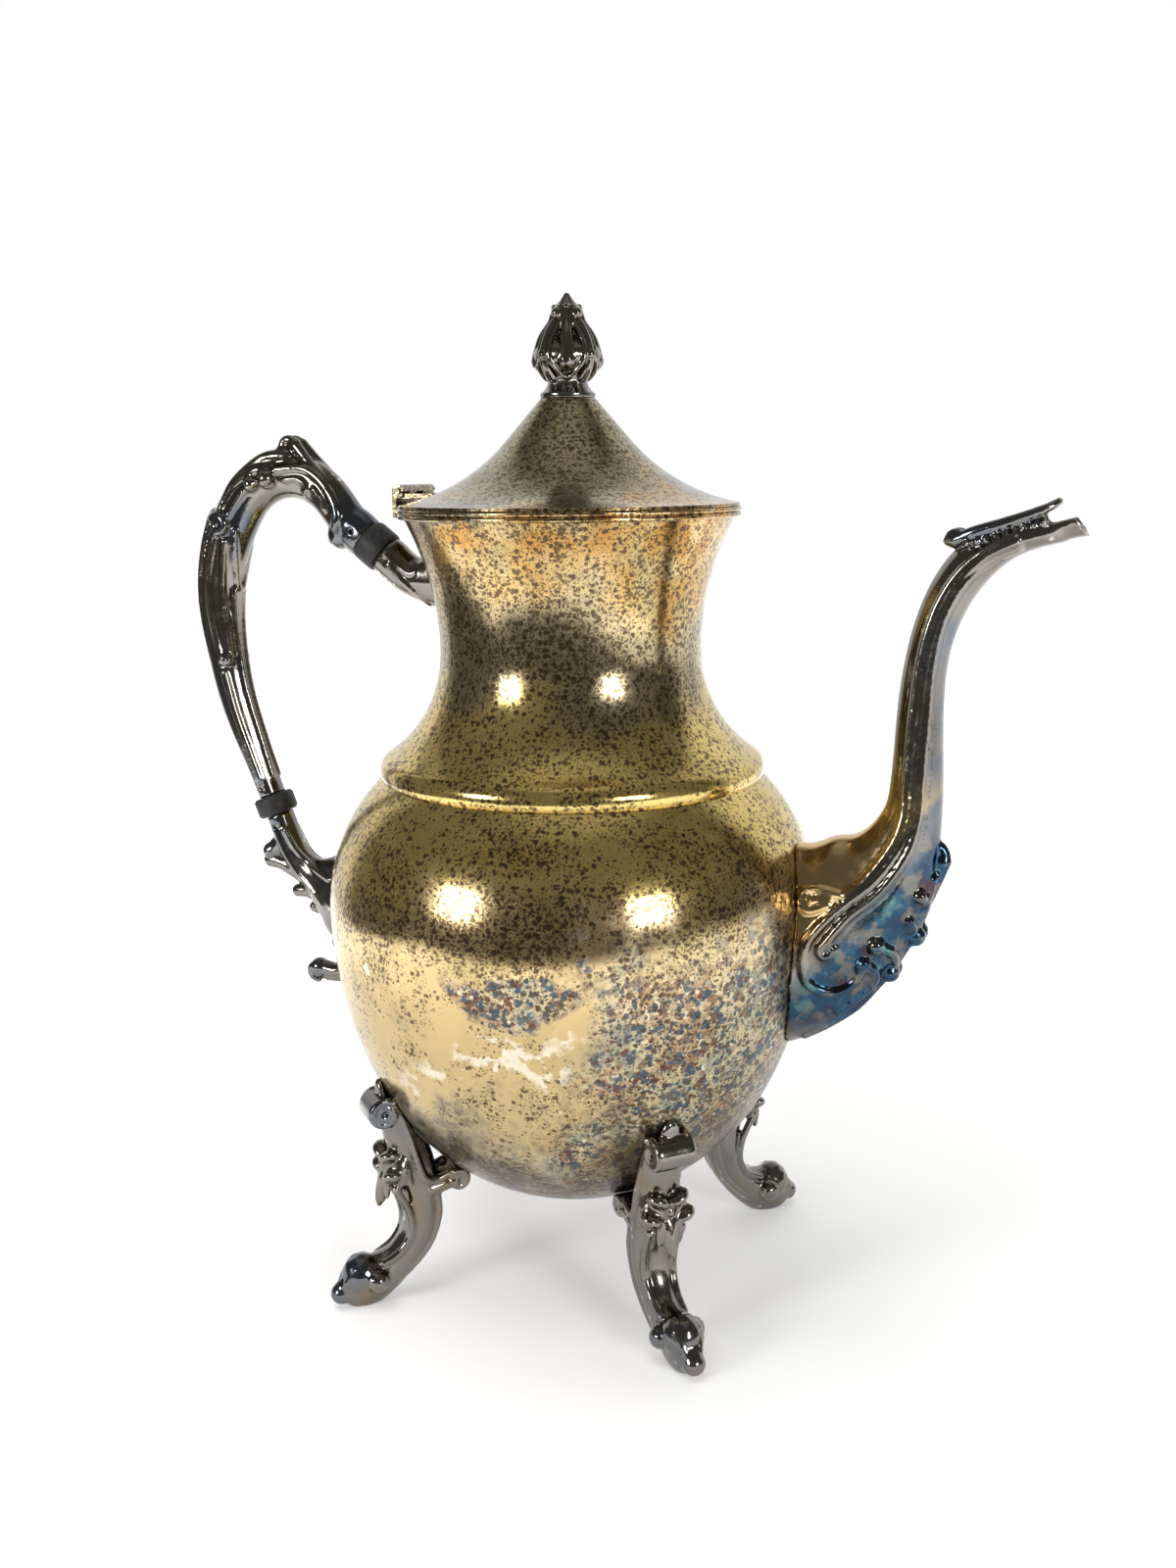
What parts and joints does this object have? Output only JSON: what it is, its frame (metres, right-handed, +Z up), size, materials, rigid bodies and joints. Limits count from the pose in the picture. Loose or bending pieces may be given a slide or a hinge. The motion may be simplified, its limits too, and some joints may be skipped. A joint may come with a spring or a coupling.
{
  "type": "coffee pot",
  "caption": "Round-bellied silver-plated coffee pot with a flared neck, a hinged lid with a bud finial, an ear handle on black insulators, a long curved spout and scroll feet.",
  "frame": {"origin": "on the table, under the middle of the pot's length and width", "axes": "+Z up, +X from the handle to the spout, +Y to the left when looking along +X"},
  "size_m": [0.2666, 0.1446, 0.29],
  "materials": {
    "silver_plate": "tarnished silver plate on brass sheet, glossy with fine dark specks",
    "silver_casting": "dark tarnished silver plate on cast metal, glossy",
    "insulator": "matt black fibre",
    "fastener": "plain metal"
  },
  "bodies": {
    "pot": {"bowl": "silver_plate", "neck": "silver_plate", "rim_band": "silver_plate", "hinge_neck_leaf": "silver_plate", "handle": "silver_casting", "upper_handle_socket": "silver_casting", "lower_handle_socket": "silver_casting", "spout": "silver_casting", "foot_front_left": "silver_casting", "foot_rear_left": "silver_casting", "foot_rear_right": "silver_casting", "foot_front_right": "silver_casting", "upper_insulator": "insulator", "lower_insulator": "insulator", "hinge_pin": "fastener", "upper_handle_pins": "fastener", "lower_handle_pins": "fastener"},
    "lid": {"lid": "silver_plate", "lid_bezel": "silver_plate", "hinge_lid_leaf": "silver_plate", "finial": "silver_casting", "finial_screw": "fastener", "finial_washer": "fastener", "finial_nut": "fastener"}
  },
  "joints": [
    {"name": "lid_hinge", "type": "hinge", "parent": "pot", "child": "lid", "pos_m": [-0.05788, 0, 0.236], "axis": [0, -1, 0], "range_deg": [0, 105]}
  ]
}
